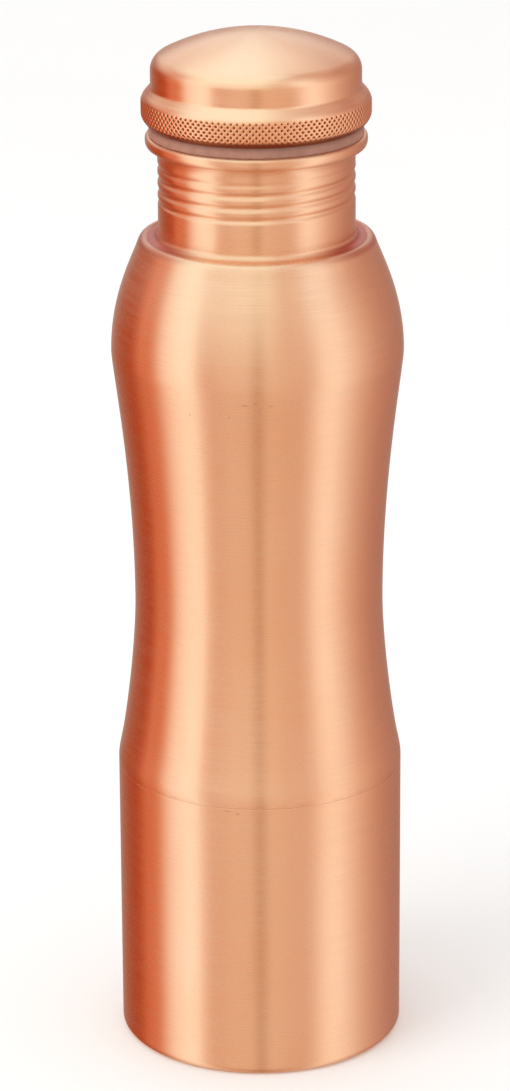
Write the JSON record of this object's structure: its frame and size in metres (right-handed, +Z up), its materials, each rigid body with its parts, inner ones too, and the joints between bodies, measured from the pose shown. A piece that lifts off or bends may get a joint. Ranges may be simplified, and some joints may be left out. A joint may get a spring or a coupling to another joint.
{
  "type": "copper water bottle",
  "caption": "Waisted copper water bottle with a rolled screw neck, silicone gasket and domed knurled lid that unscrews and lifts.",
  "frame": {"origin": "middle of the foot, on the plane that the bottle stands on", "axes": "+Z up along the axis of the body, neck and lid; X and Y are free, and +X is where the thread's groove height is counted from"},
  "size_m": [0.0746, 0.0746, 0.2693],
  "materials": {
    "copper_body": "satin copper, brushed round the body",
    "copper_neck": "satin copper, turned",
    "copper_lid": "satin copper with a knurled bead",
    "copper_plug": "plain copper, less finished inside",
    "filler": "silver-bearing brazing filler, tarnished",
    "silicone": "translucent silicone, matt"
  },
  "bodies": {
    "bottle": {"neck_collar": "copper_neck", "upper_shell": "copper_body", "lower_shell": "copper_body", "base_plate": "copper_body", "neck_braze_ring": "filler", "seam_braze_ring": "filler", "base_braze_ring": "filler"},
    "seal": {"gasket": "silicone"},
    "lid": {"cap_shell": "copper_lid", "cap_plug": "copper_plug"}
  },
  "joints": [
    {"name": "lid_lift", "type": "slide", "parent": "bottle", "child": "seal", "axis": [0, 0, 1], "range_m": [0, 0.0156]},
    {"name": "lid_turn", "type": "hinge", "parent": "seal", "child": "lid", "pos_m": [0, 0, 0.2432], "axis": [0, 0, 1], "range_deg": [0, 1800]}
  ],
  "couplings": [
    {"joint": "lid_lift", "follows": "lid_turn", "m_per_rad": 0.00049338}
  ]
}
